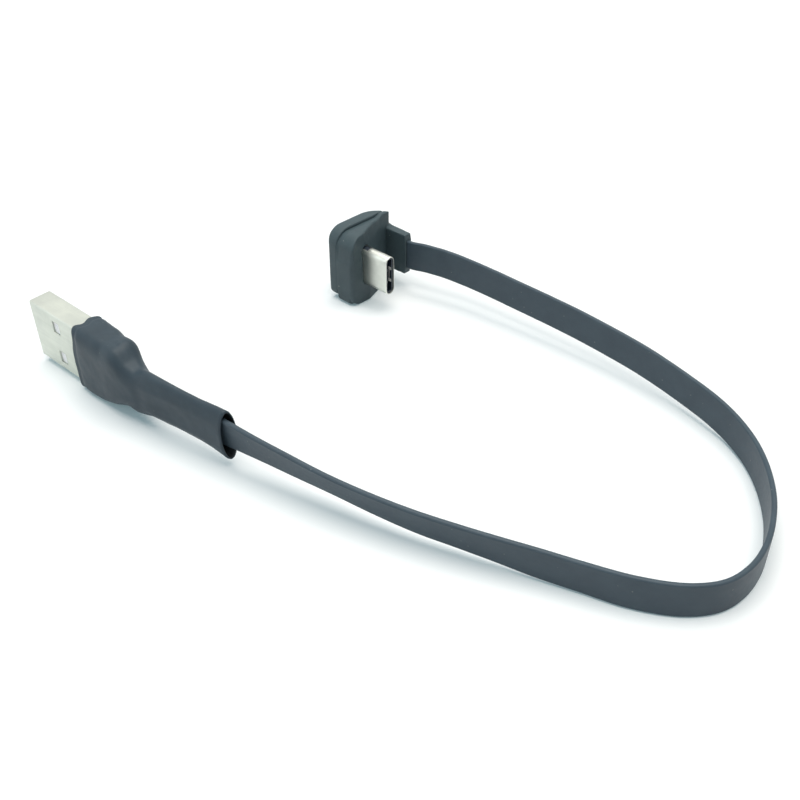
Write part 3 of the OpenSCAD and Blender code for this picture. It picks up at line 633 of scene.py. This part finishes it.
def make_sleeve():
    count, wall = 96, SLEEVE_WALL
    rows, _ = resample(catmull(SLEEVE_ROWS, 8), 0.3, 1)
    outer, inner = [], []
    for row in rows:
        x, angle = row[0], math.radians(row[6])
        # the film is thin at its two cut ends
        edge = min(x - SLEEVE_START, SLEEVE_END - x)
        thin = 0.22 * max(0.0, 1 - edge / 0.35) ** 2 if edge < 0.35 else 0.0
        wall_here = wall - 0.12 * min(1.0, max(0.0, (x - NECK_START) / 8))
        for inset, store in ((thin * 0.6, outer), (wall_here, inner)):
            for y, z in sleeve_outline(row, inset, count):
                relief = sleeve_relief(x, y, z, row[1], (row[2] + row[3]) / 2)
                n = Vector((y / max(row[1], 0.5) ** 2, z / 25.0)).normalized()
                if store is inner:
                    relief *= 0.6
                y2, z2 = y + n.x * relief, z + n.y * relief
                x2 = x + lip_shift(y, z, row[2]) * rise(x, SLEEVE_START + 5, SLEEVE_START)
                store.append((x2 - y2 * math.sin(angle), row[5] + y2 * math.cos(angle), z2))
    k = len(rows)
    verts = place_a(outer + inner)
    faces = tube_faces(k, count)
    sleeve = piece("shrink_sleeve", verts, faces, SHRINK, ("heat_shrink_sleeve",))
    # the inner faces take the near-black colour, painted shade inside the mouth
    sleeve.data.materials.append(SHRINK_INNER_PAINTED_SHADE)
    for poly in sleeve.data.polygons:
        if min(poly.vertices) >= k * count:
            poly.material_index = 1


make_sleeve()


# ------------------------------------------------------------------ USB-C end
def softened(name, node, voxel, passes, adds=()):
    """A CAD solid as a soft moulding: remeshed finely, with its edges rounded.

    Each of adds is a closed (verts, faces) body that the remesh fuses with the solid.
    """
    src = nodes[node].data
    verts = [v.co / MM for v in src.vertices]
    faces = [tuple(p.vertices) for p in src.polygons]
    for more_verts, more_faces in adds:
        start = len(verts)
        verts += [Vector(v) for v in more_verts]
        faces += [tuple(start + i for i in face) for face in more_faces]
    ob = raw_object(name, verts, faces)
    mod = ob.modifiers.new("remesh", "REMESH")
    mod.mode = "VOXEL"
    mod.voxel_size = voxel
    mod.use_smooth_shade = True
    apply_modifiers(ob)
    bm = bmesh.new()
    bm.from_mesh(ob.data)
    for _ in range(passes):
        bmesh.ops.smooth_vert(bm, verts=bm.verts, factor=0.5, use_axis_x=True,
                              use_axis_y=True, use_axis_z=True)
    bm.to_mesh(ob.data)
    bm.free()
    to_part(ob)
    ob.data.shade_smooth()
    return ob


# a soft fillet where the top of the boot's root meets the block
FILLET_Y = (8.6, 10.2)
FILLET_XZ = ((-1.4, 12.4), (-1.3, 11.9), (0.1, 12.0))
FILLET_FACES = [(0, 1, 2), (5, 4, 3), (0, 3, 4, 1), (1, 4, 5, 2), (2, 5, 3, 0)]
# the block reaches a little into the cover, so that only a fine line parts them
TONGUE_X = (-2.7, -2.1)
TONGUE_YZ = [
    (-4.44, 2.5), (9.4, 2.5), (9.4, 14.75), (-1.5, 14.75), (-3.0, 14.2), (-4.0, 13.2),
    (-4.44, 11.9),
]


def make_moulding():
    """The two halves of the U-turn moulding and the boot, with soft edges."""
    fillet = ([(x, y, z) for y in FILLET_Y for x, z in FILLET_XZ], FILLET_FACES)
    tongue = ([(x, y, z) for x in TONGUE_X for y, z in TONGUE_YZ],
              ring_faces(len(TONGUE_X), len(TONGUE_YZ)))
    block = softened("plug_moulding_front", "usb_c_front_block", voxel=0.12, passes=14,
                     adds=[fillet, tongue])
    finish_piece(block, MOULDING, ("usb_c_front_block",))
    cover = softened("plug_moulding_cover", "usb_c_back_cover", voxel=0.14, passes=12)
    finish_piece(cover, MOULDING, ("usb_c_back_cover",))
    boot = softened("cable_boot", "usb_c_boot", voxel=0.10, passes=4)
    finish_piece(boot, MOULDING, ("usb_c_boot",))


make_moulding()


def obround(half_h, half_w, count=64):
    """Closed (y, z) outline with round ends up and down."""
    pts = []
    quarter = count // 4
    flat = half_w - half_h
    for s, a0 in ((1, 0), (-1, 180)):
        for i in range(2 * quarter + 1):
            a = math.radians(a0 + 180 * i / (2 * quarter))
            pts.append((half_h * math.cos(a), s * flat + half_h * math.sin(a)))
        for i in range(1, 8):
            pts.append((-s * half_h, s * flat - 2 * s * flat * i / 8))
    return pts


C_SHELL_WALL, C_SHELL_HALF_H, C_SHELL_HALF_W, C_TIP = 0.18, 1.2, 4.125, 8.4
C_SHELL_RIM = ((C_TIP - 0.3, 0.0), (C_TIP - 0.12, 0.02), (C_TIP - 0.04, 0.06), (C_TIP, 0.12))
NOTCH_LOW, NOTCH_HIGH = (1.0, -0.75, PLUG_Z + 3.6), (3.0, 0.75, PLUG_Z + 5)


def shell_c_outline(inset):
    outline = obround(C_SHELL_HALF_H - inset, C_SHELL_HALF_W - inset)
    return [(y, z + PLUG_Z) for y, z in outline]


def make_shell_c():
    stations = [(x, shell_c_outline(inset), shell_c_outline(C_SHELL_WALL))
                for x, inset in ((-0.6, 0), (1.5, 0), (4, 0), (6.5, 0), *C_SHELL_RIM)]
    ob = raw_object("usb_c_plug_shell", *tube_mesh(stations))
    # notch at the root of the upper edge
    cut(ob, [box_mesh(NOTCH_LOW, NOTCH_HIGH)])
    bevel(ob, 0.04, 60)
    to_part(ob)
    shade_sheet(ob)
    finish_piece(ob, SHELL_C, ("usb_c_shell",))


make_shell_c()


# ------------------------------------------------------------------ carried-over nodes
def dress(node, material, width=None):
    """Material, and edge rounding in millimetres, for a CAD node that stays visible."""
    ob = nodes[node]
    ob.data.materials.clear()
    ob.data.materials.append(material)
    if width:
        mod = ob.modifiers.new("edge", "BEVEL")
        mod.width = width * MM
        mod.segments = 2
        mod.limit_method = "ANGLE"
        mod.angle_limit = math.radians(40)


def dress_all():
    """Every CAD node that no piece stands for gets its material."""
    for name in nodes:
        if name.startswith("usb_a_contact"):
            dress(name, GOLD)
        elif name.startswith("usb_c_contact"):
            # darkened gold: painted shade inside the slot
            dress(name, GOLD_PAINTED_SHADE)
        elif "_solder_" in name:
            dress(name, SOLDER)
        elif "_wire_" in name:
            dress(name, WIRES[name.split("_wire_")[1]])
    dress("usb_a_insulator", WHITE, 0.05)
    dress("usb_a_inner_mould", FILLER)
    dress("usb_c_insulator", BLACK, 0.03)
    dress("usb_c_latch_plate", LATCH)
    dress("usb_c_ground_spring_a", SPRING)
    dress("usb_c_ground_spring_b", SPRING)
    dress("usb_c_card", CARD)
    dress("usb_c_resistor", BLACK)


dress_all()


# ------------------------------------------------------------------ stage and light
FLOOR_COLOUR = (0.84, 0.80, 0.80, 1)
GLOW_COLOUR, GLOW = (0.6, 0.93, 1, 1), 0.16
FADE_FROM, FADE_TO = 0.13, 0.42  # metres from the origin
FLOOR_DROP = 0.00004  # keeps the floor just under the cable's lower edge
ROOM_COLOUR, ROOM_DARK, ROOM_BRIGHT = (0.64, 0.89, 1.0, 1), 0.12, 0.46
MIDDLE = (0.03, -0.02, 0)


def make_floor():
    size = 3.0
    mesh = bpy.data.meshes.new("floor")
    mesh.from_pydata([(-size, -size, 0), (size, -size, 0), (size, size, 0), (-size, size, 0)],
                     [], [(0, 1, 2, 3)])
    floor = bpy.data.objects.new("floor", mesh)
    floor.location = (0, 0, -FLOOR_DROP)
    scene.collection.objects.link(floor)
    mat = bpy.data.materials.new("floor")
    mat.use_nodes = True
    tree = mat.node_tree
    shader = tree.nodes["Principled BSDF"]
    shader.inputs["Base Color"].default_value = FLOOR_COLOUR
    shader.inputs["Roughness"].default_value = 0.6
    shader.inputs["Specular IOR Level"].default_value = 0.2
    out = tree.nodes["Material Output"]
    glow = tree.nodes.new("ShaderNodeEmission")
    glow.inputs["Color"].default_value = GLOW_COLOUR
    path = tree.nodes.new("ShaderNodeLightPath")
    seen = tree.nodes.new("ShaderNodeMath")
    seen.operation = "MAXIMUM"
    tree.links.new(path.outputs["Is Camera Ray"], seen.inputs[0])
    tree.links.new(path.outputs["Is Glossy Ray"], seen.inputs[1])
    lift = tree.nodes.new("ShaderNodeMath")
    lift.operation = "MULTIPLY"
    lift.inputs[1].default_value = GLOW
    tree.links.new(seen.outputs[0], lift.inputs[0])
    tree.links.new(lift.outputs[0], glow.inputs["Strength"])
    both = tree.nodes.new("ShaderNodeAddShader")
    tree.links.new(shader.outputs[0], both.inputs[0])
    tree.links.new(glow.outputs[0], both.inputs[1])
    # away from the object the floor turns into an even white backdrop
    place = tree.nodes.new("ShaderNodeTexCoord")
    reach = tree.nodes.new("ShaderNodeVectorMath")
    reach.operation = "LENGTH"
    fade = tree.nodes.new("ShaderNodeMapRange")
    fade.interpolation_type = "SMOOTHSTEP"
    fade.inputs["From Min"].default_value = FADE_FROM
    fade.inputs["From Max"].default_value = FADE_TO
    tree.links.new(place.outputs["Object"], reach.inputs[0])
    tree.links.new(reach.outputs["Value"], fade.inputs["Value"])
    share = tree.nodes.new("ShaderNodeMath")
    share.operation = "MULTIPLY"
    tree.links.new(fade.outputs["Result"], share.inputs[0])
    tree.links.new(seen.outputs[0], share.inputs[1])
    plain = tree.nodes.new("ShaderNodeEmission")
    plain.inputs["Color"].default_value = (1, 1, 1, 1)
    backdrop = tree.nodes.new("ShaderNodeMixShader")
    tree.links.new(share.outputs[0], backdrop.inputs[0])
    tree.links.new(both.outputs[0], backdrop.inputs[1])
    tree.links.new(plain.outputs[0], backdrop.inputs[2])
    tree.links.new(backdrop.outputs[0], out.inputs["Surface"])
    mesh.materials.append(mat)


def make_world():
    world = bpy.data.worlds.new("studio")
    world.use_nodes = True
    scene.world = world
    tree = world.node_tree
    back = tree.nodes["Background"]
    back.inputs["Color"].default_value = ROOM_COLOUR
    # the room is brighter on the near left and darker on the right
    coord = tree.nodes.new("ShaderNodeTexCoord")
    facing = tree.nodes.new("ShaderNodeVectorMath")
    facing.operation = "DOT_PRODUCT"
    facing.inputs[1].default_value = (-0.77, -0.64, 0)
    level = tree.nodes.new("ShaderNodeMapRange")
    sockets = ("From Min", "From Max", "To Min", "To Max")
    for socket, value in zip(sockets, (-0.8, 0.8, ROOM_DARK, ROOM_BRIGHT)):
        level.inputs[socket].default_value = value
    tree.links.new(coord.outputs["Generated"], facing.inputs[0])
    tree.links.new(facing.outputs["Value"], level.inputs["Value"])
    tree.links.new(level.outputs["Result"], back.inputs["Strength"])
    white = tree.nodes.new("ShaderNodeBackground")
    white.inputs["Color"].default_value = (1, 1, 1, 1)
    white.inputs["Strength"].default_value = 1.0
    path = tree.nodes.new("ShaderNodeLightPath")
    seen = tree.nodes.new("ShaderNodeMath")
    seen.operation = "MAXIMUM"
    more = tree.nodes.new("ShaderNodeMath")
    more.operation = "MAXIMUM"
    mix = tree.nodes.new("ShaderNodeMixShader")
    tree.links.new(path.outputs["Is Camera Ray"], seen.inputs[0])
    tree.links.new(path.outputs["Is Glossy Ray"], seen.inputs[1])
    tree.links.new(seen.outputs[0], more.inputs[0])
    tree.links.new(path.outputs["Is Transmission Ray"], more.inputs[1])
    tree.links.new(more.outputs[0], mix.inputs[0])
    tree.links.new(back.outputs[0], mix.inputs[1])
    tree.links.new(white.outputs[0], mix.inputs[2])
    tree.links.new(mix.outputs[0], tree.nodes["World Output"].inputs["Surface"])


def area_light(name, at, look, size, watts, colour):
    """A square lamp; places and size in metres."""
    data = bpy.data.lights.new(name, "AREA")
    data.shape = "SQUARE"
    data.size = size
    data.energy = watts
    data.color = colour
    ob = bpy.data.objects.new(name, data)
    ob.location = at
    ob.rotation_mode = "QUATERNION"
    ob.rotation_quaternion = (Vector(look) - Vector(at)).to_track_quat("-Z", "Y")
    scene.collection.objects.link(ob)


make_floor()
make_world()
area_light("key", at=(0.02, 0.06, 1.6), look=MIDDLE, size=1.6, watts=34.5,
           colour=(1.0, 0.975, 0.92))
area_light("fill", at=(-0.6, -0.8, 0.45), look=MIDDLE, size=0.8, watts=1.4,
           colour=(0.86, 0.96, 1.0))
scene.view_settings.view_transform = "Standard"
